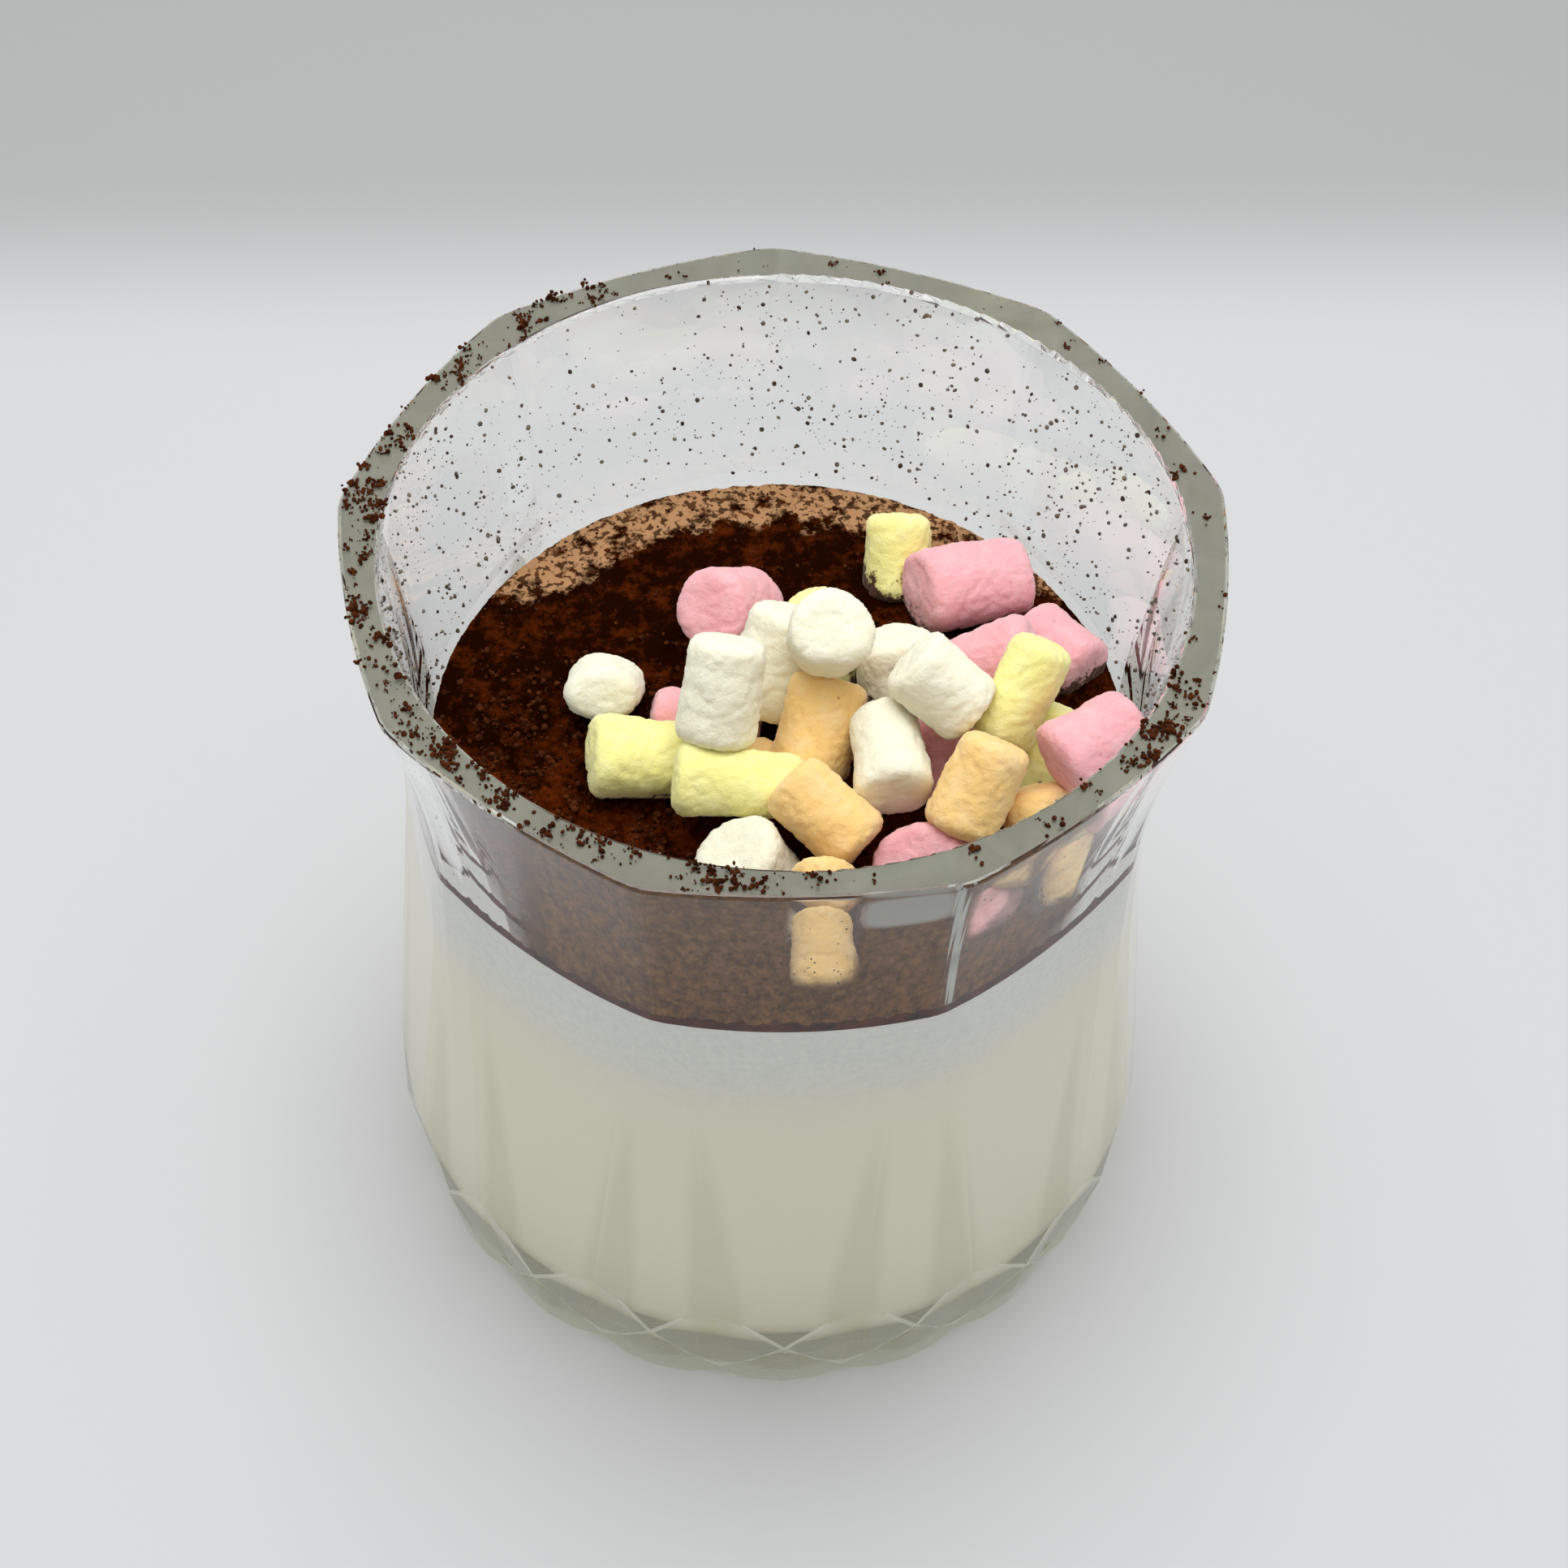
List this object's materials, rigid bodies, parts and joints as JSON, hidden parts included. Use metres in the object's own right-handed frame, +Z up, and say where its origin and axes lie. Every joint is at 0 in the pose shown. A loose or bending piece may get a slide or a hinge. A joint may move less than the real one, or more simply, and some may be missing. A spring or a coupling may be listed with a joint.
{
  "type": "babyccino in a cut glass tumbler",
  "caption": "Warm milk drink with a band of foam, dusted with cocoa and heaped with mini marshmallows, in a faceted glass tumbler.",
  "frame": {"origin": "on the axis of the glass, in the plane of its base", "axes": "+Z up along the axis of the glass; -Y faces the viewer, at the middle of one of the nine sides; +X to the viewer's right"},
  "size_m": [0.0846, 0.0845, 0.087],
  "materials": {
    "glass": "clear, polished cut glass",
    "milk": "smooth liquid against glass",
    "foam": "fine wet foam",
    "cocoa": "matt powder",
    "marshmallow_white": "matt, soft and powdery",
    "marshmallow_pink": "matt, soft and powdery",
    "marshmallow_yellow": "matt, soft and powdery",
    "marshmallow_orange": "matt, soft and powdery"
  },
  "bodies": {
    "root": {"cocoa": "cocoa", "foam": "foam", "glass": "glass", "marshmallow_01_white": "marshmallow_white", "marshmallow_02_white": "marshmallow_white", "marshmallow_03_white": "marshmallow_white", "marshmallow_04_pink": "marshmallow_pink", "marshmallow_05_yellow": "marshmallow_yellow", "marshmallow_06_orange": "marshmallow_orange", "marshmallow_07_white": "marshmallow_white", "marshmallow_08_white": "marshmallow_white", "marshmallow_09_yellow": "marshmallow_yellow", "marshmallow_10_orange": "marshmallow_orange", "marshmallow_11_orange": "marshmallow_orange", "marshmallow_12_pink": "marshmallow_pink", "marshmallow_13_orange": "marshmallow_orange", "marshmallow_14_white": "marshmallow_white", "marshmallow_15_pink": "marshmallow_pink", "marshmallow_16_yellow": "marshmallow_yellow", "marshmallow_17_pink": "marshmallow_pink", "marshmallow_18_yellow": "marshmallow_yellow", "marshmallow_19_white": "marshmallow_white", "marshmallow_20_orange": "marshmallow_orange", "marshmallow_21_yellow": "marshmallow_yellow", "marshmallow_22_pink": "marshmallow_pink", "marshmallow_23_white": "marshmallow_white", "marshmallow_24_yellow": "marshmallow_yellow", "marshmallow_25_pink": "marshmallow_pink", "marshmallow_26_pink": "marshmallow_pink", "marshmallow_27_orange": "marshmallow_orange", "marshmallow_28_pink": "marshmallow_pink", "milk": "milk"}
  },
  "joints": []
}
